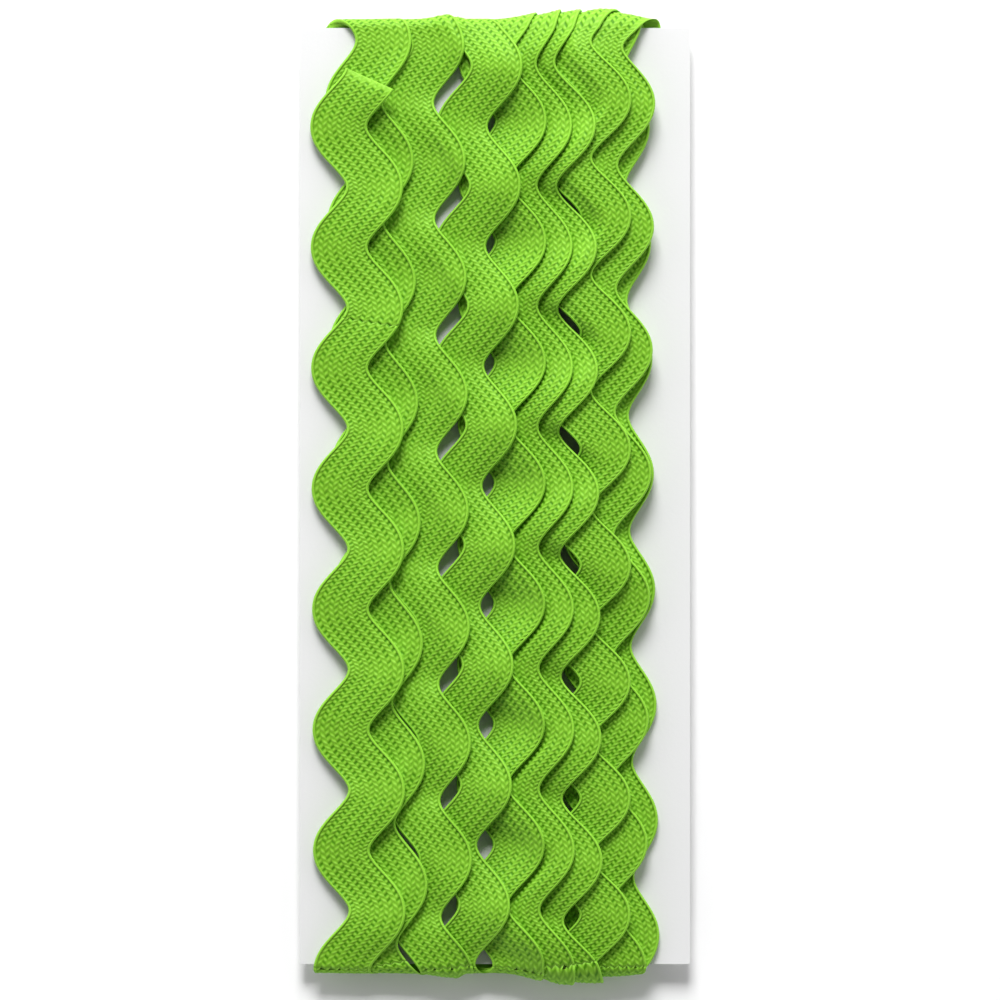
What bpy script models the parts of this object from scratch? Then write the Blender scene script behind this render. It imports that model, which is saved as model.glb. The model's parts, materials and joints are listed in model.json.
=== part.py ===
"""Ric rac wound lengthwise on a flat card, lying on its back.

Lengths are in millimetres up to make_object, which turns them into metres. X runs across the card, Y along it
and Z up, away from the surface. The origin is under the middle of the card, on that surface. One loop of the
winding is unrolled for the layout: v runs up the front of the card, over its top edge, down the back and
round its bottom edge, x runs across the card, and a height is measured off the card's face.
"""

import math

import bmesh
import bpy
import numpy as np

MM = 0.001

# The card, and how deep the winding behind it is pressed flat by the surface
CARD_WIDTH = 45.0
CARD_LENGTH = 108.0
CARD_THICKNESS = 0.45
CARD_CORNER = 0.15
BACK_DEPTH = 1.6
CARD_MIDDLE = BACK_DEPTH + CARD_THICKNESS / 2

# The ric rac and its winding
TRIM_LENGTH = 2300.0
WRAP = 4.1  # the way round one edge of the card, along the middle of the layers
LOOP = 2 * (CARD_LENGTH + WRAP)
LAYER = 0.82  # thickness of one layer of the braid under tension
CUT_SLANT = 1.55  # how far the cut's ends lie above and below its middle
LOOSE_LENGTH = 28.0
LOOSE_THICKNESS = 1.0
GAP = 0.3  # between pieces that touch
CROSS_LEAN = 0.27  # share of the wave's slope that the lines across the braid lean by

# Each pass up the front, in the order of winding: the middle of its wave at the top and at the bottom of the
# card, the wave's half height and length, the place of one of its crests to the right (Y), the width of the
# braid, and how far it is pushed to the right where it goes over the top edge
PASS_COLUMNS = ("x_top", "x_bottom", "swing", "wave", "crest", "width", "push")
PASSES = (
    (12.5, 13.0, 1.80, 13.9, 44.6, 5.9, 0.0),
    (13.3, 14.6, 1.40, 13.3, 42.5, 6.0, -0.6),
    (13.5, 12.4, 2.10, 14.2, 45.2, 5.9, 1.6),
    (10.5, 10.4, 2.25, 13.4, 45.6, 5.9, -0.2),
    (6.3, 7.3, 2.25, 14.1, 42.7, 5.9, -1.4),
    (3.9, 4.3, 2.00, 13.9, 42.7, 5.9, -1.1),
    (0.9, 0.6, 2.10, 13.9, 43.2, 6.0, -1.0),
    (-1.7, -3.3, 1.95, 13.8, 49.5, 6.0, 0.0),
    (-8.4, -7.4, 1.80, 13.4, 52.0, 6.2, 0.0),
    (-14.7, -12.6, 1.80, 13.9, 52.6, 6.5, 0.0),
    (-16.0, -15.6, 2.05, 13.9, 49.5, 6.6, 0.0),
)
PUSH_REACH = 3.6
END_Y = 48.05  # the middle of the cut

# How the layers bed down: stations along one loop, samples across the braid, and how far a layer evens out
STATIONS = 300
SAMPLES = 13
EVEN_OUT = 2.2
PLIANT = 0.35  # share by which a layer follows what is under it, the rest being how a stiff plank would lie
STEEPEST_LEAN = 0.28
EDGE_TIGHTNESS = 0.5  # share of the lift and lean lost where the winding is pulled over an edge
EDGE_REACH = 4.5

# The solid of the winding
ROW_PITCH = 1.5
WRAP_ROWS = 7
RIM = 0.12  # half of the way across a step from one layer to the next
SHORTEST_STEP = 0.4
RIM_ROUND = 0.3
FLOOR_OF_GAP = 0.3  # the winding's thickness where the card shows between two passes
LOOSE_ROWS = 22
LOOSE_SPANS = 6

WHITE_CARD = (0.90, 0.90, 0.89)
LIME_GREEN = (0.216, 0.497, 0.037)

END_RUN = (len(PASSES) - 1) * LOOP + CARD_LENGTH / 2 + END_Y
START_RUN = END_RUN - TRIM_LENGTH


def column(name):
    """One column of the table of passes."""
    return np.array([row[PASS_COLUMNS.index(name)] for row in PASSES])


def along_passes(at_bottom, at_top):
    """Runs and values to interpolate between, from each pass's at the bottom and at the top of the front."""
    start = np.arange(len(PASSES)) * LOOP
    runs = np.column_stack((start, start + CARD_LENGTH)).ravel()
    return runs, np.column_stack((at_bottom, at_top)).ravel()


def wave_phases():
    """The wave's phase at the bottom and top of each pass, with waves of about the usual length behind."""
    turn = 2 * math.pi
    bottom = turn * (-CARD_LENGTH / 2 - column("crest")) / column("wave")
    top = turn * (CARD_LENGTH / 2 - column("crest")) / column("wave")
    behind = turn * (LOOP - CARD_LENGTH) / column("wave").mean()
    for n in range(1, len(PASSES)):
        waves = round((top[n - 1] + behind - bottom[n]) / turn)
        bottom[n] += waves * turn
        top[n] += waves * turn
    return bottom, top


def course(run):
    """The braid's middle (x), its slope across the loop and its width, at each run along the winding."""
    phase = np.interp(run, *along_passes(*wave_phases()))
    swing = np.interp(run, *along_passes(column("swing"), column("swing")))
    middle = np.interp(run, *along_passes(column("x_bottom"), column("x_top")))
    width = np.interp(run, *along_passes(column("width"), column("width")))
    wave = np.interp(run, *along_passes(column("wave"), column("wave")))
    away = (np.mod(run, LOOP) - CARD_LENGTH - WRAP / 2) / PUSH_REACH
    push = np.interp(run, *along_passes(column("push"), column("push"))) * np.exp(-(away**2))
    slope = -swing * 2 * math.pi / wave * np.sin(phase) - 2 * away / PUSH_REACH * push
    return middle + swing * np.cos(phase) + push, slope, width


def tightness(run):
    """The share of its lift that a layer keeps: all of it on the flats, less over an edge of the card."""
    v = np.mod(run, LOOP)
    keep = np.ones_like(v)
    for edge in (CARD_LENGTH + WRAP / 2, LOOP - WRAP / 2):
        away = np.abs(v - edge)
        away = np.minimum(away, LOOP - away)
        keep -= EDGE_TIGHTNESS * np.exp(-((away / EDGE_REACH) ** 2))
    return keep


def seat(stations, runs, rest, lean, across):
    """How the braid lies on the layers under it, mostly as a stiff plank: its height and its lean."""
    middle, _, width = across
    offsets = np.linspace(-0.5, 0.5, SAMPLES) * width[stations, None]
    x = middle[stations, None] + offsets
    base = np.zeros_like(x)
    for back in range(STATIONS, len(runs), STATIONS):
        under = stations - back
        there = (under >= 0) & (runs[under] >= START_RUN)
        aside = x - middle[under, None]
        top = rest[under, None] + lean[under, None] * aside + LAYER
        covers = there[:, None] & (np.abs(aside) <= width[under, None] / 2)
        base = np.maximum(base, np.where(covers, top, 0))
    half = SAMPLES // 2
    left, right = offsets[:, :half, None], offsets[:, None, half + 1 :]
    low, high = base[:, :half, None], base[:, None, half + 1 :]
    slopes = (high - low) / (right - left)
    heights = (low - slopes * left).reshape(len(stations), -1)
    best = heights.argmax(axis=1)
    rows = np.arange(len(stations))
    plank_height = np.maximum(heights[rows, best], base[:, half])
    plank_lean = slopes.reshape(len(stations), -1)[rows, best]
    mean_lean = (base * offsets).sum(axis=1) / (offsets**2).sum(axis=1)
    height = PLIANT * base.mean(axis=1) + (1 - PLIANT) * plank_height
    tilt = PLIANT * mean_lean + (1 - PLIANT) * plank_lean
    keep = tightness(runs[stations])
    return height * keep, STEEPEST_LEAN * np.tanh(tilt / STEEPEST_LEAN) * keep


def evened(values, start, stop, pitch):
    """Values from start to stop, each the mean of its neighbours under a bell curve."""
    reach = math.ceil(2.5 * EVEN_OUT / pitch)
    weights = np.exp(-((np.arange(-reach, reach + 1) * pitch / EVEN_OUT) ** 2) / 2)
    index = np.clip(np.arange(start, stop)[:, None] + np.arange(-reach, reach + 1), 0, len(values) - 1)
    return values[index] @ (weights / weights.sum())


def lay_passes():
    """The height (rest) and lean of the braid at every station, laid half a loop at a time over the last."""
    pitch = LOOP / STATIONS
    ahead = math.ceil(2.5 * EVEN_OUT / pitch)
    count = len(PASSES) * STATIONS
    runs = np.arange(count) * pitch
    across = course(runs)
    rest, lean = np.zeros(count), np.zeros(count)
    raw_rest, raw_lean = np.zeros(count), np.zeros(count)
    done = 0
    for start in range(0, count, STATIONS // 2):
        stop = start + STATIONS // 2
        seated = min(stop + ahead, count)
        fresh = np.arange(done, seated)
        raw_rest[fresh], raw_lean[fresh] = seat(fresh, runs, rest, lean, across)
        rest[start:stop] = evened(raw_rest, start, stop, pitch)
        lean[start:stop] = evened(raw_lean, start, stop, pitch)
        done = seated
    return runs, rest, lean


def place(x, v, height):
    """A point of the unrolled loop in the round: x across, v along the loop, height off the card's face."""
    radius = CARD_THICKNESS / 2 + height
    back, bottom = CARD_LENGTH + WRAP, 2 * CARD_LENGTH + WRAP
    if v <= CARD_LENGTH:
        return x, v - CARD_LENGTH / 2, CARD_MIDDLE + radius
    if back <= v <= bottom:
        return x, CARD_LENGTH / 2 + back - v, max(CARD_MIDDLE - radius, 0.0)
    edge = 1 if v < back else -1
    angle = math.pi * (v - (CARD_LENGTH if edge > 0 else bottom)) / WRAP
    y = edge * (CARD_LENGTH / 2 + radius * math.sin(angle))
    return x, y, max(CARD_MIDDLE + edge * radius * math.cos(angle), 0.0)


def make_object(name, points, faces, material):
    """A named object from points in millimetres, with its triangles facing out."""
    mesh = bpy.data.meshes.new(name)
    mesh.from_pydata([tuple(c * MM for c in p) for p in points], [], faces)
    shape = bmesh.new()
    shape.from_mesh(mesh)
    bmesh.ops.triangulate(shape, faces=shape.faces)
    bmesh.ops.recalc_face_normals(shape, faces=shape.faces)
    shape.to_mesh(mesh)
    shape.free()
    mesh.materials.append(material)
    made = bpy.data.objects.new(name, mesh)
    bpy.context.collection.objects.link(made)
    return made


def make_material(name, colour, roughness):
    material = bpy.data.materials.new(name)
    material.use_nodes = True
    shader = material.node_tree.nodes["Principled BSDF"]
    shader.inputs["Base Color"].default_value = (*colour, 1.0)
    shader.inputs["Roughness"].default_value = roughness
    shader.inputs["Metallic"].default_value = 0.0
    return material


class Layers:
    """The passes that cross one line v = constant of the loop, and the surface that they make."""

    def __init__(self, v, laid, skip_loose):
        runs, rest, lean = laid
        self.v = v
        self.behind = CARD_LENGTH + WRAP <= v <= 2 * CARD_LENGTH + WRAP
        last = END_RUN - LOOSE_LENGTH - GAP if skip_loose else END_RUN
        self.order = [n for n in range(len(PASSES)) if START_RUN <= n * LOOP + v <= last]
        run = np.array([n * LOOP + v for n in self.order])
        self.middle, _, self.width = course(run)
        self.rest = np.interp(run, runs, rest)
        self.lean = np.interp(run, runs, lean)

    def top(self, k, x):
        """The height of the k-th pass's upper face at x, pressed flat behind the card."""
        height = self.rest[k] + self.lean[k] * (x - self.middle[k]) + LAYER
        return min(height, BACK_DEPTH) if self.behind else height

    def surface(self, x, default=None):
        """The height of the uppermost pass at x, or the default where none covers it."""
        for k in reversed(range(len(self.order))):
            if abs(x - self.middle[k]) < self.width[k] / 2:
                return self.top(k, x)
        return default

    def right(self, k):
        return self.middle[k] + self.width[k] / 2

    def left(self, k):
        return self.middle[k] - self.width[k] / 2


def knee(layers, k, start, end):
    """Where, between start and end, the k-th pass meets the plane that presses the back flat, or None."""
    heights = (layers.rest[k] + layers.lean[k] * (x - layers.middle[k]) + LAYER for x in (start, end))
    free_start, free_end = heights
    if free_start < BACK_DEPTH < free_end:
        x = start + (end - start) * (BACK_DEPTH - free_start) / (free_end - free_start)
        if min(x - start, end - x) > SHORTEST_STEP:
            return x
    return None


def outer_chain(layers):
    """The winding's outer line from left to right as (rank, x, height), two points for each edge that shows.

    A rank grows from left to right and is the same for the same edge in every row, so that it can join rows.
    """
    low = GAP + FLOOR_OF_GAP
    count = len(layers.order)
    left = min(layers.left(k) for k in range(count))
    right = max(layers.right(k) for k in range(count))
    chain = [(-3, left + RIM_ROUND, GAP), (-2, left, GAP + RIM_ROUND)]
    chain.append((-1, left + RIM_ROUND, layers.surface(left + RIM_ROUND / 2)))
    shown = left + RIM_ROUND + SHORTEST_STEP
    for k in reversed(range(count)):
        rank = 10 * (len(PASSES) - layers.order[k])
        edge = layers.right(k)
        if edge < shown + SHORTEST_STEP:
            continue
        outermost = edge > right - SHORTEST_STEP
        if outermost:
            edge = right - RIM_ROUND
        start = shown
        beside = layers.surface(layers.left(k) - RIM)
        if beside is None and layers.left(k) > shown + SHORTEST_STEP:
            start = layers.left(k) + RIM
            chain.append((rank - 3, start, layers.top(k, start)))
        bend = knee(layers, k, start, edge - RIM) if layers.behind else None
        if bend is not None:
            chain.append((rank - 2, bend, BACK_DEPTH))
        chain.append((rank - 1, edge - RIM, layers.top(k, edge - RIM)))
        if outermost:
            break
        chain.append((rank, edge + RIM, layers.surface(edge + RIM, low)))
        shown = edge + RIM
    end_rank = 10 * (len(PASSES) + 1)
    chain.append((end_rank, right, GAP + RIM_ROUND))
    chain.append((end_rank + 1, right - RIM_ROUND, GAP))
    return chain


def row_places():
    """Where the winding's rows lie along the loop, with two close together where the loose end starts."""
    flats = round(CARD_LENGTH / ROW_PITCH)
    starts = (0.0, CARD_LENGTH, CARD_LENGTH + WRAP, 2 * CARD_LENGTH + WRAP)
    lengths = (CARD_LENGTH, WRAP, CARD_LENGTH, WRAP)
    rows = []
    for start, length, spans in zip(starts, lengths, (flats, WRAP_ROWS, flats, WRAP_ROWS)):
        rows += [start + length * k / spans for k in range(spans)]
    split = (END_RUN - LOOSE_LENGTH - GAP) % LOOP
    rows = [v for v in rows if abs(v - split) > ROW_PITCH / 2]
    return sorted(rows + [split - RIM, split + RIM])


def join_rows(first, second):
    """Triangles and quads between two chains of (rank, point number), each sorted by rank."""
    faces = []
    i = j = 0
    while i < len(first) - 1 or j < len(second) - 1:
        next_i = first[i + 1][0] if i < len(first) - 1 else math.inf
        next_j = second[j + 1][0] if j < len(second) - 1 else math.inf
        if next_i == next_j:
            faces.append((first[i][1], first[i + 1][1], second[j + 1][1], second[j][1]))
            i += 1
            j += 1
        elif next_i < next_j:
            faces.append((first[i][1], first[i + 1][1], second[j][1]))
            i += 1
        else:
            faces.append((first[i][1], second[j + 1][1], second[j][1]))
            j += 1
    return faces


def make_winding(laid, material):
    """One closed ring round the card: a line across it in each row, joined to the next row edge by edge."""
    points, rows = [], []
    for v in row_places():
        row = []
        for rank, x, height in outer_chain(Layers(v, laid, skip_loose=True)):
            row.append((rank, len(points)))
            points.append(place(x, v, height))
        rows.append(row)
    faces = []
    for k, row in enumerate(rows):
        following = rows[(k + 1) % len(rows)]
        if k == len(rows) - 1:
            # Each pass behind the card comes round the bottom edge as the next pass of the front
            last = 10 * (len(PASSES) + 1)
            row = [(rank - 10 if 0 < rank < last else rank, point) for rank, point in row]
        faces += join_rows(row, following)
        faces.append((row[0][1], following[0][1], following[-1][1], row[-1][1]))
    return make_object("winding", points, faces, material)


def make_loose_end(laid, material):
    """The last stretch of the braid as a thick wavy strip on the turns below, cut on a slant."""
    runs, rest, lean = laid
    points, faces = [], []
    ring = 2 * (LOOSE_SPANS + 1)
    for k in range(LOOSE_ROWS + 1):
        share = k / LOOSE_ROWS
        run = END_RUN - LOOSE_LENGTH * (1 - share)
        middle, slope, width = (float(value[0]) for value in course(np.array([run])))
        tilt = CROSS_LEAN * math.atan(slope)
        height = np.interp(run, runs, rest) + GAP
        leaning = np.interp(run, runs, lean)
        under, over = [], []
        for j in range(LOOSE_SPANS + 1):
            side = 2 * j / LOOSE_SPANS - 1
            x = middle + side * width / 2 * math.cos(tilt)
            slant = -side * (width / 2 * math.sin(tilt) * (1 - share) + CUT_SLANT * share)
            base = height + leaning * side * width / 2
            rounding = RIM_ROUND if abs(side) == 1 else 0.0
            under.append(place(x, run % LOOP + slant, base + rounding))
            over.append(place(x, run % LOOP + slant, base + LOOSE_THICKNESS - rounding))
        points += under + over[::-1]
    for k in range(LOOSE_ROWS):
        for j in range(ring):
            a, b = k * ring + j, k * ring + (j + 1) % ring
            faces.append((a, b, b + ring, a + ring))
    faces.append(tuple(range(ring)))
    faces.append(tuple(LOOSE_ROWS * ring + j for j in range(ring)))
    return make_object("loose_end", points, faces, material)


def make_card(material):
    """The flat card, its four corners just taken off."""
    half_w, half_l, half_t = CARD_WIDTH / 2, CARD_LENGTH / 2, CARD_THICKNESS / 2
    corners = ((1, -1), (1, 1), (-1, 1), (-1, -1))
    outline = []
    for k, (sx, sy) in enumerate(corners):
        along = (sx * (half_w - CARD_CORNER), sy * half_l)
        down = (sx * half_w, sy * (half_l - CARD_CORNER))
        outline += [along, down] if k % 2 == 0 else [down, along]
    points = [(x, y, CARD_MIDDLE - half_t) for x, y in outline]
    points += [(x, y, CARD_MIDDLE + half_t) for x, y in outline]
    count = len(outline)
    faces = [tuple(range(count)), tuple(range(count, 2 * count))]
    faces += [(k, (k + 1) % count, (k + 1) % count + count, k + count) for k in range(count)]
    return make_object("card", points, faces, material)


def main():
    for old in list(bpy.data.objects):
        bpy.data.objects.remove(old)
    card_board = make_material("card_board", WHITE_CARD, 0.6)
    braid = make_material("braid", LIME_GREEN, 0.75)
    laid = lay_passes()
    make_card(card_board)
    make_winding(laid, braid)
    make_loose_end(laid, braid)


main()
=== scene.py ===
"""Looks of a length of ric rac wound on its card: the card's finish and the braid stitch by stitch.

The braid's course and the way its layers bed down are worked out as for the solids, in millimetres and on the
same axes.
"""

import json
import math

import bmesh
import bpy
import numpy as np
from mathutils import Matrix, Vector

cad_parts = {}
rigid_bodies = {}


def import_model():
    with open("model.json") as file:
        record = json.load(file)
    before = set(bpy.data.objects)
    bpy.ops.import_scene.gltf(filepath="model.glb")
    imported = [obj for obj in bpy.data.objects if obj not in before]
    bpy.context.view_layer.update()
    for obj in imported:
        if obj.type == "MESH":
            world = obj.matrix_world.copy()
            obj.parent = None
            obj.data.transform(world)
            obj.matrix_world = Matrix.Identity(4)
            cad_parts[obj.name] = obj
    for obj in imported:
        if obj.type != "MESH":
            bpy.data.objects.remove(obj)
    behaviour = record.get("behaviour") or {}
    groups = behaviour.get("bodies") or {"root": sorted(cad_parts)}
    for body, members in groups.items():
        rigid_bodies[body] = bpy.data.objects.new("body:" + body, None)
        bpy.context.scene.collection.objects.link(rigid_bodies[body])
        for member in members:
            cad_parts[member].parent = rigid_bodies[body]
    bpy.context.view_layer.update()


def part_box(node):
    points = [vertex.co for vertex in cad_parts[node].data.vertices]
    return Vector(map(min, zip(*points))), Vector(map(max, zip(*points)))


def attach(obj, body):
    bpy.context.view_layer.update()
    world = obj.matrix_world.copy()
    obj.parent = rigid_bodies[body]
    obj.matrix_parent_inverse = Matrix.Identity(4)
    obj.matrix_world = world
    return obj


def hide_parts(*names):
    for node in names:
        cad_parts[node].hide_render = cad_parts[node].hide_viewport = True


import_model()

MM = 0.001

# The card and the loop round it, read off the frame: the surface is at zero and the card lies above it
CARD_LOW, CARD_HIGH = (tuple(c / MM for c in corner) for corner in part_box("card"))
CARD_LENGTH = CARD_HIGH[1] - CARD_LOW[1]
CARD_THICKNESS = CARD_HIGH[2] - CARD_LOW[2]
CARD_MIDDLE = (CARD_HIGH[2] + CARD_LOW[2]) / 2
WRAP = 4.1  # the way round one edge of the card, along the middle of the layers
LOOP = 2 * (CARD_LENGTH + WRAP)

# The ric rac
TRIM_LENGTH = 2300.0
LAYER = 0.82  # thickness of one layer of the braid under tension
LOOSE_LENGTH = 28.0
CUT_PAST = 4.0  # the braid is made this much too long, and then cut
CUT_LEFT = (-17.77, 49.61)
CUT_RIGHT = (-11.08, 46.50)
NOT_CUT = 1000.0  # the distance from the cut that stands for passes without one
CUT_NUMBER = -5.0  # the column number of the cut's face, outside the woven columns
FUSED = 1.1  # how far from the cut the stitches are melted
END_LIFT = 1.0  # how far the cut's right corner stands off the turns below
LIFT_REACH = 3.5
CROSS_LEAN = 0.27  # share of the wave's slope that the lines across the braid lean by

# Each pass up the front, in the order of winding: the middle of its wave at the top and at the bottom of the
# card, the wave's half height and length, the place of one of its crests to the right (Y), the width of the
# braid, and how far it is pushed to the right where it goes over the top edge
PASS_COLUMNS = ("x_top", "x_bottom", "swing", "wave", "crest", "width", "push")
PASSES = (
    (12.5, 13.0, 1.80, 13.9, 44.6, 5.9, 0.0),
    (13.3, 14.6, 1.40, 13.3, 42.5, 6.0, -0.6),
    (13.5, 12.4, 2.10, 14.2, 45.2, 5.9, 1.6),
    (10.5, 10.4, 2.25, 13.4, 45.6, 5.9, -0.2),
    (6.3, 7.3, 2.25, 14.1, 42.7, 5.9, -1.4),
    (3.9, 4.3, 2.00, 13.9, 42.7, 5.9, -1.1),
    (0.9, 0.6, 2.10, 13.9, 43.2, 6.0, -1.0),
    (-1.7, -3.3, 1.95, 13.8, 49.5, 6.0, 0.0),
    (-8.4, -7.4, 1.80, 13.4, 52.0, 6.2, 0.0),
    (-14.7, -12.6, 1.80, 13.9, 52.6, 6.5, 0.0),
    (-16.0, -15.6, 2.05, 13.9, 49.5, 6.6, 0.0),
)
PUSH_REACH = 3.6
END_Y = 48.05  # the middle of the cut
END_RUN = (len(PASSES) - 1) * LOOP + CARD_LENGTH / 2 + END_Y
START_RUN = END_RUN - TRIM_LENGTH

# How the layers bed down: heights over the card, on a grid over the unrolled loop and on samples across it
GRID = 0.16
GRID_LEFT = -24.0
GRID_ROWS = 1400  # round the loop
GRID_COLUMNS = 300
STATION = 0.4  # along the braid
SAMPLES = 25  # across it
DRAPE_STEPS = 90
LAST_STEPS = 4
AHEAD = 20  # stations laid out before the braid comes down on them
CLEARANCE = 0.08  # between two layers
RIM_START = 0.93  # from here on outwards a layer gets thinner towards its edge, by the share that follows
RIM_DROP = 0.5
# How tightly the braid is drawn over the card's edges: from left to right, the share that is left of what
# lies over the first layer
EDGE_SHARES = (
    (-25.0, 0.05),
    (-9.0, 0.08),
    (-6.0, 0.38),
    (-4.3, 0.42),
    (-3.4, 0.05),
    (0.0, 0.03),
    (4.5, 0.36),
    (7.5, 0.48),
    (10.0, 0.46),
    (14.0, 0.42),
    (15.7, 0.29),
    (18.0, 0.03),
)
EDGE_REACH = 3.6
PRESSED_FROM = 0.6  # share of the depth behind the card above which the layers are pressed together

# The braid's stitches: floats of yarn in columns, each column leaning the other way from its neighbours
COLUMNS = 11
STITCH = 0.64  # along the braid
ROWS_PER_STITCH = 2
RIM_SHARE = 0.10  # of the half width, for the cord along each side
FLOAT_SLANT = 0.45  # how far along, in stitches, a float's end lies from its middle
FLOAT_RISE = 0.09
GROOVE = 0.07  # depth between two columns
RIB = 0.55  # share by which the floats that lie with the wave's slope stand up, and the others sink
UNEVEN = 0.18
CROWN = 0.05  # how much lower the woven part lies at its sides than in its middle
FUSED_THICKNESS = 0.75  # share of a layer's thickness where the stitches are melted
UNDER_POINTS = (0.92, 0.0, -0.92)
SEED = 7

# The photograph's view: a long lens straight above, the frame's width in millimetres at the card's face
FRAME_WIDTH = 115.38
FRAME_CENTRE = (0.577, -0.46)
LENS = 300.0
SENSOR = 36.0

# The light: a white tent, open above, and a soft lamp beyond the top edge
SKY_STRENGTH = 1.5
SKY_SIDES = 0.25
SKY_TOP = 0.8
SKY_SHADE = 0.95
SKY_TILT = 0.4
LAMP_PLACE = (-0.05, 0.64, 0.46)
LAMP_SIZE = 0.32
LAMP_POWER = 8.6

WHITE_CARD = (0.72, 0.72, 0.725, 1.0)
PALE_FLOOR = (0.93, 0.93, 0.93, 1.0)
# The yarn's colour ramp: its dark end is painted shade and its light end a painted highlight; the random
# blotches of tone also reach into both
YARN_PAINTED_SHADE = (0.07, 0.24, 0.003, 1.0)
YARN_MIDDLE = (0.20, 0.47, 0.025, 1.0)
YARN_PAINTED_HIGHLIGHT = (0.36, 0.74, 0.085, 1.0)
SHEEN_TINT = (0.6, 1.0, 0.3, 1.0)
CREST_SHARPNESS = 1.2
# Painted light on the floats: a painted highlight on floats raised with the slope, painted shade on the sunk
# ones and where floats dive
RAISED_PAINTED_HIGHLIGHT = 0.25
SUNK_PAINTED_SHADE = 0.15
DIVE_PAINTED_SHADE = 0.9
# Painted highlight on the side cords; the same lighter shade colours the underside and gives the melted end
# its paler tone
RIM_HIGHLIGHT_AND_FUSED_TONE = 0.6
CONTRAST = 0.62
BLOTCHES = 0.45
JITTER = 0.25


def column(name):
    """One column of the table of passes."""
    return np.array([row[PASS_COLUMNS.index(name)] for row in PASSES])


def along_passes(at_bottom, at_top):
    """Runs and values to interpolate between, from each pass's at the bottom and at the top of the front."""
    start = np.arange(len(PASSES)) * LOOP
    runs = np.column_stack((start, start + CARD_LENGTH)).ravel()
    return runs, np.column_stack((at_bottom, at_top)).ravel()


def wave_phases():
    """The wave's phase at the bottom and top of each pass, with waves of about the usual length behind."""
    turn = 2 * math.pi
    bottom = turn * (-CARD_LENGTH / 2 - column("crest")) / column("wave")
    top = turn * (CARD_LENGTH / 2 - column("crest")) / column("wave")
    behind = turn * (LOOP - CARD_LENGTH) / column("wave").mean()
    for n in range(1, len(PASSES)):
        waves = round((top[n - 1] + behind - bottom[n]) / turn)
        bottom[n] += waves * turn
        top[n] += waves * turn
    return bottom, top


def course(run):
    """The braid's middle (x), its slope across the loop and its width, at each run along the winding."""
    phase = np.interp(run, *along_passes(*wave_phases()))
    swing = np.interp(run, *along_passes(column("swing"), column("swing")))
    middle = np.interp(run, *along_passes(column("x_bottom"), column("x_top")))
    width = np.interp(run, *along_passes(column("width"), column("width")))
    wave = np.interp(run, *along_passes(column("wave"), column("wave")))
    away = (np.mod(run, LOOP) - CARD_LENGTH - WRAP / 2) / PUSH_REACH
    push = np.interp(run, *along_passes(column("push"), column("push"))) * np.exp(-(away**2))
    slope = -swing * 2 * math.pi / wave * np.sin(phase) - 2 * away / PUSH_REACH * push
    return middle + swing * np.cos(phase) + push, slope, width


def across_braid(run, t):
    """Where points at t, from -1 to 1 across the braid, lie on the unrolled loop: x and v."""
    middle, slope, width = course(run)
    tilt = CROSS_LEAN * np.arctan(slope)
    return middle + t * width / 2 * np.cos(tilt), run - t * width / 2 * np.sin(tilt)


def between(values, i, j):
    """Values of a table at places between its rows and columns; i and j are counted from its first ones."""
    i0 = np.clip(np.floor(i).astype(int), 0, values.shape[0] - 2)
    j0 = np.clip(np.floor(j).astype(int), 0, values.shape[1] - 2)
    di, dj = np.clip(i - i0, 0, 1), np.clip(j - j0, 0, 1)
    near = values[i0, j0] * (1 - dj) + values[i0, j0 + 1] * dj
    far = values[i0 + 1, j0] * (1 - dj) + values[i0 + 1, j0 + 1] * dj
    return near * (1 - di) + far * di


def smoothed(heights):
    """One step towards the mean of the neighbours, level past the sides and the ends."""
    wide = np.pad(heights, 1, mode="edge")
    wide = (wide[:-2] + 2 * wide[1:-1] + wide[2:]) / 4
    return (wide[:, :-2] + 2 * wide[:, 1:-1] + wide[:, 2:]) / 4


def draped(under):
    """A stiff cloth let down on what is under it: it bridges the steps and never goes below them."""
    lies = under
    for _ in range(DRAPE_STEPS):
        lies = np.maximum(under, smoothed(lies))
    for _ in range(LAST_STEPS):
        lies = smoothed(lies)
    return lies + CLEARANCE


def cover(heights, rows, laid):
    """Adds the braid's upper side to rows of the grid, from the runs that pass there."""
    run_here = np.array([run for _, run in rows])[:, None]
    x = GRID_LEFT + np.arange(GRID_COLUMNS) * GRID
    run = np.broadcast_to(run_here, (len(rows), GRID_COLUMNS))
    for _ in range(4):
        middle, slope, width = course(run)
        tilt = CROSS_LEAN * np.arctan(slope)
        t = (x - middle) / (width / 2 * np.cos(tilt))
        run = run_here + np.clip(t, -1, 1) * width / 2 * np.sin(tilt)
    inside = (np.abs(t) <= 1) & (run >= START_RUN) & (run <= END_RUN)
    rim = np.clip((np.abs(t) - RIM_START) / (1 - RIM_START), 0, 1)
    top = lying(laid, run, t) + LAYER * (1 - RIM_DROP * rim**2)
    index = np.array([row for row, _ in rows])
    heights[index] = np.where(inside, np.maximum(heights[index], top), heights[index])


def lying(laid, run, t):
    """The height of the braid's underside at t across it."""
    return between(laid, (run - START_RUN) / STATION, (np.clip(t, -1, 1) + 1) / 2 * (SAMPLES - 1))


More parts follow.
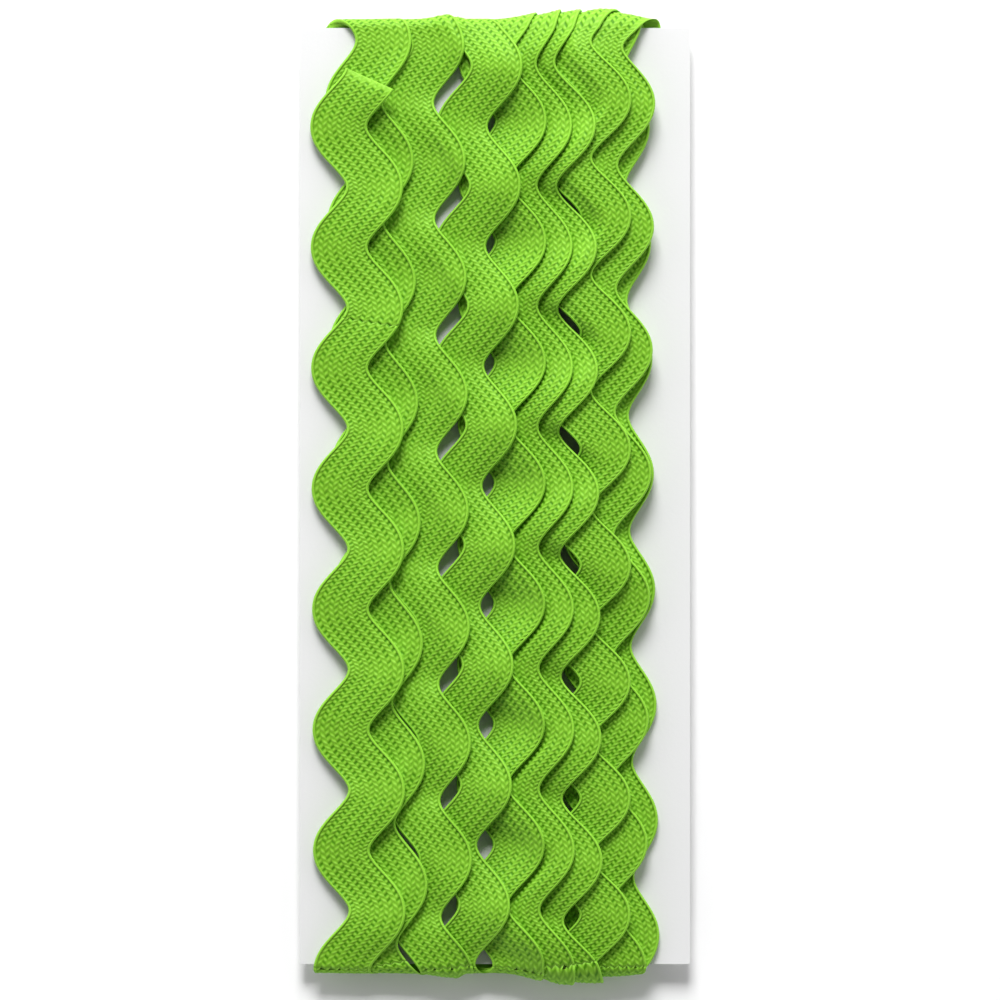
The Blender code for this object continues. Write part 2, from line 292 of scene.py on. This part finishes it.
def lay_passes():
    """The height of the braid's underside at every station, laid half a loop at a time over the last."""
    count = math.ceil((TRIM_LENGTH + CUT_PAST) / STATION) + 1
    runs = START_RUN + np.arange(count) * STATION
    t = np.linspace(-1, 1, SAMPLES)[None, :]
    heights = np.zeros((GRID_ROWS, GRID_COLUMNS))
    under = np.zeros((count, SAMPLES))
    laid = np.zeros((count, SAMPLES))
    step = LOOP / GRID_ROWS
    row_number = math.ceil(START_RUN / step)
    seen = start = 0
    while start < count:
        stop = min(start + int(LOOP / 2 / STATION), count)
        ready = min(stop + AHEAD, count)
        fresh = runs[seen:ready, None]
        x, v = across_braid(fresh, t)
        turned = np.vstack((heights, heights[:1]))
        under[seen:ready] = between(turned, np.mod(v, LOOP) / step, (x - GRID_LEFT) / GRID)
        seen = ready
        before = max(start - AHEAD, 0)
        laid[start:ready] = draped(under[before:ready])[start - before :]
        rows = []
        while row_number * step < runs[stop - 1]:
            rows.append((row_number % GRID_ROWS, row_number * step))
            row_number += 1
        cover(heights, rows, laid)
        start = stop
    return laid


def tightened(height, x, v):
    """Heights where the braid is pulled over an edge: less of what lies over the first layer is kept."""
    keep = np.ones_like(v)
    left = np.interp(x, *zip(*EDGE_SHARES))
    for edge in (CARD_LENGTH + WRAP / 2, LOOP - WRAP / 2):
        away = np.abs(v - edge)
        away = np.minimum(away, LOOP - away)
        keep = keep - (1 - left) * np.exp(-((away / EDGE_REACH) ** 2))
    return np.minimum(height, LAYER) + np.maximum(height - LAYER, 0) * keep


def pressed(height, room):
    """Heights under a ceiling: unchanged up to a share of the room, then ever closer to it and in order."""
    free = PRESSED_FROM * room
    left = room - free
    over = np.maximum(height - free, 0)
    return np.where(height > free, free + left * (1 - np.exp(-over / left)), height)


def place(x, v, height):
    """Points of the unrolled loop in the round, as rows (x, y, z), with the back pressed on the surface."""
    v = np.mod(v, LOOP)
    height = tightened(height, x, v)
    half = CARD_THICKNESS / 2
    back, bottom = CARD_LENGTH + WRAP, 2 * CARD_LENGTH + WRAP
    front = v <= CARD_LENGTH
    behind = (v >= back) & (v <= bottom)
    over_top = (v > CARD_LENGTH) & (v < back)
    angle = math.pi * np.where(over_top, v - CARD_LENGTH, v - bottom) / WRAP
    edge = np.where(over_top, 1.0, -1.0)
    down = np.where(behind, 1.0, np.where(front, 0.0, -edge * np.cos(angle)))
    room = np.where(down > 0.02, CARD_MIDDLE / np.maximum(down, 0.02) - half, np.inf)
    close = np.isfinite(room)
    height = np.where(close, pressed(height, np.where(close, room, 1.0)), height)
    radius = half + height
    y_flat = np.where(front, v - CARD_LENGTH / 2, CARD_LENGTH / 2 + back - v)
    y_edge = edge * (CARD_LENGTH / 2 + radius * np.sin(angle))
    flat = front | behind
    y = np.where(flat, y_flat, y_edge)
    z = np.where(front, CARD_MIDDLE + radius, CARD_MIDDLE - radius * down)
    return np.stack((x, y, z), axis=-1)


def cut_plane():
    """A point of the cut's plane and the plane's direction, out of the end."""
    along = np.array([CUT_RIGHT[0] - CUT_LEFT[0], CUT_RIGHT[1] - CUT_LEFT[1]])
    along = along / np.linalg.norm(along)
    return (np.array(CUT_LEFT) + np.array(CUT_RIGHT)) / 2, np.array([-along[1], along[0]])


def before_cut(run, x, v):
    """How far points of the last pass lie from the cut, and a large distance on the other passes."""
    middle, out = cut_plane()
    v_last = v - (len(PASSES) - 1) * LOOP
    y = v_last - CARD_LENGTH / 2
    away = -((x - middle[0]) * out[0] + (y - middle[1]) * out[1])
    return np.where(run > END_RUN - LOOSE_LENGTH, away, NOT_CUT)


def cut_off(mesh):
    """Cuts the braid's end straight through and closes it."""
    middle, out = cut_plane()
    work = bmesh.new()
    work.from_mesh(mesh)
    everything = work.verts[:] + work.edges[:] + work.faces[:]
    co = (middle[0] * MM, middle[1] * MM, 0)
    facing = (out[0], out[1], 0)
    cut = bmesh.ops.bisect_plane(work, geom=everything, plane_co=co, plane_no=facing, clear_outer=True)
    rim = [part for part in cut["geom_cut"] if isinstance(part, bmesh.types.BMEdge)]
    caps = bmesh.ops.edgeloop_fill(work, edges=rim)["faces"]
    for cap in caps:
        cap.smooth = False
        for layer in work.loops.layers.uv.values():
            for loop in cap.loops:
                loop[layer].uv = (CUT_NUMBER, 0.0)
    bmesh.ops.recalc_face_normals(work, faces=work.faces[:])
    work.to_mesh(mesh)
    work.free()


def section(lane):
    """The points round the braid's cross-section, for a lane of columns that reaches to +-lane.

    Each is across from -1 to 1, level as a share of the thickness, column number, ridge (1 in the middle of a
    column), and zigzag, which shifts the line between two columns along the braid.
    """
    rim = 1 - lane
    cord = [(1.0, 0.45, 0.0), (0.985, 0.78, 0.2), (0.93, 0.99, 0.45), (0.84, 1.0, 0.7)]
    cord = [(1 - rim * (1 - t) / 0.16, level, far) for t, level, far in cord]
    points = [(-t, level, far - 1, 0, 0) for t, level, far in cord]
    for k in range(2 * COLUMNS + 1):
        zigzag = 0 if k % 2 else (1 if k % 4 == 2 else -1)
        points.append((lane * (k / COLUMNS - 1), 1.0, k / 2, k % 2, zigzag))
    points += [(t, level, COLUMNS + 1 - far, 0, 0) for t, level, far in cord[::-1]]
    points += [(t, 0.0 if t == 0 else 0.12, COLUMNS + 2.0 - t, 0, 0) for t in UNDER_POINTS]
    return points


def braid_mesh(name, laid, arc, first, last):
    """A stretch of the braid from one stitch to another: a closed mesh, its stitch numbers in a UV map."""
    arc_runs, arc_lengths = arc
    table = np.array(section(1 - RIM_SHARE), dtype=float)
    across, level, numbers, ridge, zigzag = table.T
    ring = len(across)
    woven = (numbers >= 0) & (numbers <= COLUMNS) & ((zigzag != 0) | (ridge != 0))
    rows = np.arange(round(first * ROWS_PER_STITCH), round(last * ROWS_PER_STITCH) + 1)
    stitch = rows[:, None] / ROWS_PER_STITCH
    run = np.interp((stitch + FLOAT_SLANT / 2 * zigzag) * STITCH, arc_lengths, arc_runs)
    slope = np.broadcast_to(course(run)[1], (len(rows), ring))
    number = np.floor(numbers).astype(int)
    parity = np.mod(number, 2)
    tune = np.random.default_rng(SEED)
    noise = tune.normal(0, 1, (STITCHES + 4, COLUMNS + 1))
    which = np.clip(np.rint(stitch + parity / 2).astype(int), 0, STITCHES + 3)
    unevenness = noise[which, np.clip(number, 0, COLUMNS)]
    with_slope = np.where(parity == 0, 1, -1) * np.sin(np.arctan(slope))
    swell = np.cos(2 * math.pi * (stitch + parity / 2))
    rise = FLOAT_RISE * (swell * (1 + UNEVEN * unevenness) + RIB * with_slope) * ridge
    crown = np.where(woven, -CROWN * across**2, 0)
    x, v = across_braid(run, across)
    away = before_cut(run, x, v)
    fresh = np.clip(away / FUSED, 0, 1) ** 0.7
    relief = rise - np.where(woven & (ridge == 0), GROOVE, 0)
    solid = FUSED_THICKNESS + (1 - FUSED_THICKNESS) * fresh
    thickness = LAYER * level * solid + relief * fresh + crown
    lift = END_LIFT * np.exp(-((np.maximum(away, 0) / LIFT_REACH) ** 2)) * (1 + across) / 2
    height = lying(laid, run, across) + thickness + lift
    corners = place(x, v, height) * MM
    count = len(rows)
    a = (np.arange(count - 1)[:, None] * ring + np.arange(ring)[None, :]).ravel()
    b = (np.arange(count - 1)[:, None] * ring + (np.arange(ring)[None, :] + 1) % ring).ravel()
    quads = np.stack((a, b, b + ring, a + ring), axis=-1)
    mesh = bpy.data.meshes.new(name)
    caps = [list(range(ring))[::-1], [(count - 1) * ring + k for k in range(ring)]]
    mesh.from_pydata(corners.reshape(-1, 3).tolist(), [], quads.tolist() + caps)
    loops = np.empty(len(mesh.loops), dtype=np.int32)
    mesh.loops.foreach_get("vertex_index", loops)
    maps = (("stitches", numbers, stitch), ("course", np.sin(np.arctan(slope)), fresh))
    for layer, first_value, second_value in maps:
        u = np.broadcast_to(first_value, run.shape).ravel()
        w = np.broadcast_to(second_value, run.shape).ravel()
        uv = mesh.uv_layers.new(name=layer)
        uv.data.foreach_set("uv", np.stack((u[loops], w[loops]), axis=-1).ravel())
    mesh.polygons.foreach_set("use_smooth", np.ones(len(mesh.polygons), dtype=bool))
    if last == STITCHES:
        cut_off(mesh)
    mesh.update()
    made = bpy.data.objects.new(name, mesh)
    bpy.context.collection.objects.link(made)
    return made


def card_material():
    material = bpy.data.materials.new("card_board")
    material.use_nodes = True
    nodes, links = material.node_tree.nodes, material.node_tree.links
    shader = nodes["Principled BSDF"]
    shader.inputs["Base Color"].default_value = WHITE_CARD
    shader.inputs["Roughness"].default_value = 0.55
    place_in = nodes.new("ShaderNodeTexCoord")
    fibre = nodes.new("ShaderNodeTexNoise")
    fibre.inputs["Scale"].default_value = 2500.0
    fibre.inputs["Detail"].default_value = 4.0
    bump = nodes.new("ShaderNodeBump")
    bump.inputs["Strength"].default_value = 0.15
    bump.inputs["Distance"].default_value = 0.00005
    links.new(place_in.outputs["Object"], fibre.inputs["Vector"])
    links.new(fibre.outputs["Fac"], bump.inputs["Height"])
    links.new(bump.outputs["Normal"], shader.inputs["Normal"])
    return material


class Maths:
    """Short names for the maths nodes of one material; values are numbers or other nodes' outputs."""

    def __init__(self, tree):
        self.tree = tree

    def node(self, operation, *values, clamp=False):
        made = self.tree.nodes.new("ShaderNodeMath")
        made.operation = operation
        made.use_clamp = clamp
        for socket, value in zip(made.inputs, values):
            if isinstance(value, (int, float)):
                socket.default_value = value
            else:
                self.tree.links.new(value, socket)
        return made.outputs[0]

    def add(self, a, b):
        return self.node("ADD", a, b)

    def times(self, a, b):
        return self.node("MULTIPLY", a, b)

    def less(self, a, b):
        return self.node("SUBTRACT", a, b)

    def ramp(self, value, low, high):
        """0 below low, 1 above high and smooth between."""
        made = self.tree.nodes.new("ShaderNodeMapRange")
        made.interpolation_type = "SMOOTHSTEP"
        made.inputs["From Min"].default_value = low
        made.inputs["From Max"].default_value = high
        self.tree.links.new(value, made.inputs["Value"])
        return made.outputs[0]

    def mix(self, share, low, high):
        """A colour between two others."""
        made = self.tree.nodes.new("ShaderNodeMix")
        made.data_type = "RGBA"
        self.tree.links.new(share, made.inputs[0])
        for socket, value in ((made.inputs[6], low), (made.inputs[7], high)):
            if isinstance(value, tuple):
                socket.default_value = value
            else:
                self.tree.links.new(value, socket)
        return made.outputs[2]

    def noise(self, u, w, scale_u, scale_w, detail):
        """Uneven values over the braid, finer or coarser across and along it."""
        at = self.tree.nodes.new("ShaderNodeCombineXYZ")
        self.tree.links.new(self.times(u, scale_u), at.inputs[0])
        self.tree.links.new(self.times(w, scale_w), at.inputs[1])
        made = self.tree.nodes.new("ShaderNodeTexNoise")
        made.inputs["Scale"].default_value = 1.0
        made.inputs["Detail"].default_value = detail
        self.tree.links.new(at.outputs[0], made.inputs["Vector"])
        return made.outputs["Fac"]


def uv_parts(tree, name):
    """The two numbers of a UV map."""
    uv = tree.nodes.new("ShaderNodeUVMap")
    uv.uv_map = name
    parts = tree.nodes.new("ShaderNodeSeparateXYZ")
    tree.links.new(uv.outputs["UV"], parts.inputs[0])
    return parts.outputs[0], parts.outputs[1]


def braid_material():
    """Floats of bright yarn in columns: painted shade where they dive, more so in every second column of a
    slope, painted highlights on their crests and side cords.
    """
    material = bpy.data.materials.new("braid")
    material.use_nodes = True
    tree = material.node_tree
    shader = tree.nodes["Principled BSDF"]
    m = Maths(tree)
    u, w = uv_parts(tree, "stitches")
    lean, fresh = uv_parts(tree, "course")
    woven = m.times(m.node("GREATER_THAN", u, 0.0), m.node("LESS_THAN", u, float(COLUMNS)))
    column_number = m.node("FLOOR", m.add(u, 20.0))
    odd = m.node("MODULO", column_number, 2.0)
    side = m.less(1.0, m.times(odd, 2.0))
    raised = m.times(side, lean)
    lean_aside = m.less(m.node("FRACT", m.add(u, 20.0)), 0.5)
    aside = m.node("ABSOLUTE", lean_aside)
    dome = m.less(1.0, m.times(m.node("POWER", aside, 2.0), 3.0))
    jitter = m.times(m.less(m.noise(column_number, w, 7.3, 0.9, 1.0), 0.5), JITTER)
    phase = m.add(m.add(w, m.times(odd, 0.5)), jitter)
    crest = m.node("MULTIPLY_ADD", m.node("COSINE", m.times(phase, 2 * math.pi)), 0.5, 0.5)
    dive = m.times(m.node("POWER", m.less(1.0, crest), 2.0), dome)
    body = m.times(m.node("POWER", crest, CREST_SHARPNESS), dome)
    high = m.node("MAXIMUM", raised, 0.0)
    sunk = m.node("MAXIMUM", m.times(raised, -1.0), 0.0)
    # Painted highlight on the floats' crests and on the raised floats, painted shade on the sunk floats and
    # deepest where they dive
    level = m.add(m.times(body, m.less(0.75, m.times(high, 0.3))), m.times(high, RAISED_PAINTED_HIGHLIGHT))
    level = m.less(level, m.add(m.times(sunk, SUNK_PAINTED_SHADE), m.times(m.times(dive, sunk), DIVE_PAINTED_SHADE)))
    blotches = m.noise(u, w, 0.9, 0.8, 3.0)
    # Painted light and shade of the floats, with random blotches of tone added
    painted_light_and_blotches = m.add(level, m.times(m.less(blotches, 0.5), BLOTCHES))
    shade = m.node("MULTIPLY_ADD", m.less(painted_light_and_blotches, 0.35), CONTRAST, 0.5, clamp=True)
    stitched = m.times(woven, m.ramp(fresh, 0.1, 0.9))
    # Side cords, underside and melted end take one lighter shade: a painted highlight on the cords, the paler
    # tone of the melted end
    shade = m.add(m.times(shade, stitched), m.times(m.less(1.0, stitched), RIM_HIGHLIGHT_AND_FUSED_TONE))
    # The ramp's dark end is painted shade and its light end a painted highlight
    colour = m.mix(m.ramp(shade, 0.0, 0.5), YARN_PAINTED_SHADE, YARN_MIDDLE)
    colour = m.mix(m.ramp(shade, 0.45, 1.0), colour, YARN_PAINTED_HIGHLIGHT)
    tree.links.new(colour, shader.inputs["Base Color"])
    shader.inputs["Roughness"].default_value = 0.5
    shader.inputs["Specular IOR Level"].default_value = 0.15
    shader.inputs["Sheen Weight"].default_value = 0.06
    shader.inputs["Sheen Roughness"].default_value = 0.4
    shader.inputs["Sheen Tint"].default_value = SHEEN_TINT
    filaments = m.noise(u, w, 3.0, 12.0, 2.0)
    bump = tree.nodes.new("ShaderNodeBump")
    bump.inputs["Strength"].default_value = 0.6
    bump.inputs["Distance"].default_value = 0.0001
    height = m.times(m.times(level, woven), fresh)
    tree.links.new(m.add(height, m.times(filaments, 0.25)), bump.inputs["Height"])
    tree.links.new(bump.outputs["Normal"], shader.inputs["Normal"])
    return material


def make_floor():
    material = bpy.data.materials.new("pale_floor")
    material.use_nodes = True
    shader = material.node_tree.nodes["Principled BSDF"]
    shader.inputs["Base Color"].default_value = PALE_FLOOR
    shader.inputs["Roughness"].default_value = 0.9
    shader.inputs["Specular IOR Level"].default_value = 0.1
    mesh = bpy.data.meshes.new("floor")
    half = 1.5
    corners = [(-half, -half, 0), (half, -half, 0), (half, half, 0), (-half, half, 0)]
    mesh.from_pydata(corners, [], [(0, 1, 2, 3)])
    mesh.materials.append(material)
    floor = bpy.data.objects.new("floor", mesh)
    floor.location.z = -0.00005
    bpy.context.collection.objects.link(floor)


def make_light(name, place_at, towards, size, power):
    light = bpy.data.lights.new(name, "AREA")
    light.size = size
    light.energy = power
    lamp = bpy.data.objects.new(name, light)
    lamp.location = place_at
    direction = [b - a for a, b in zip(place_at, towards)]
    lamp.rotation_euler = Vector(direction).to_track_quat("-Z", "Y").to_euler()
    bpy.context.collection.objects.link(lamp)


def make_view():
    camera = bpy.data.cameras.new("camera")
    camera.lens = LENS
    camera.sensor_width = SENSOR
    camera.clip_start = 0.01
    seen = bpy.data.objects.new("camera", camera)
    distance = FRAME_WIDTH * LENS / SENSOR
    seen.location = (FRAME_CENTRE[0] * MM, FRAME_CENTRE[1] * MM, (CARD_HIGH[2] + distance) * MM)
    bpy.context.collection.objects.link(seen)
    bpy.context.scene.camera = seen
    bpy.context.scene.view_settings.view_transform = "Standard"
    make_sky()


def make_sky():
    """White light from all sides and little from straight above, where the camera hangs."""
    world = bpy.data.worlds.new("soft_light")
    world.use_nodes = True
    tree = world.node_tree
    m = Maths(tree)
    place_in = tree.nodes.new("ShaderNodeTexCoord")
    parts = tree.nodes.new("ShaderNodeSeparateXYZ")
    tree.links.new(place_in.outputs["Generated"], parts.inputs[0])
    above = m.ramp(parts.outputs[2], SKY_SIDES, SKY_TOP)
    tilted = m.node("MULTIPLY_ADD", parts.outputs[1], SKY_TILT, 1.0)
    strength = m.times(m.less(1.0, m.times(above, SKY_SHADE)), tilted)
    tree.nodes["Background"].inputs["Color"].default_value = (1.0, 1.0, 1.0, 1.0)
    tree.links.new(m.times(strength, SKY_STRENGTH), tree.nodes["Background"].inputs["Strength"])
    bpy.context.scene.world = world


fine_runs = np.linspace(START_RUN, END_RUN + CUT_PAST, 40001)
fine_slopes = course(fine_runs)[1]
steps = np.sqrt(1 + ((fine_slopes[1:] + fine_slopes[:-1]) / 2) ** 2) * np.diff(fine_runs)
ARC = (fine_runs, np.concatenate(([0.0], np.cumsum(steps))))
STITCHES = int(ARC[1][-1] / STITCH)



def dress_card():
    for made in (o for o in bpy.data.objects if o.name.startswith("card")):
        made.data.materials.clear()
        made.data.materials.append(card_material())


def wind_braid():
    """The turns in the order of winding, one piece from each pass's start to the next, and the loose end."""
    laid = lay_passes()
    braid = braid_material()
    breaks = [START_RUN] + [n * LOOP for n in range(1, len(PASSES))] + [END_RUN - LOOSE_LENGTH, END_RUN]
    marks = [math.floor(np.interp(run, *ARC) / STITCH) for run in breaks]
    marks[-1] = STITCHES
    turns = []
    for n, (first, last) in enumerate(zip(marks[:-1], marks[1:])):
        name = "loose_end_braid" if n == len(marks) - 2 else f"turn_{n + 1:02d}"
        piece = braid_mesh(name, laid, ARC, first, last)
        piece.data.materials.append(braid)
        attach(piece, "root")
        turns.append(piece)
    for piece in turns[:-1]:
        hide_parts("winding")
    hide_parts("loose_end")


make_view()
make_light("key", LAMP_PLACE, (0, 0, 0), LAMP_SIZE, LAMP_POWER)
make_floor()
dress_card()
wind_braid()
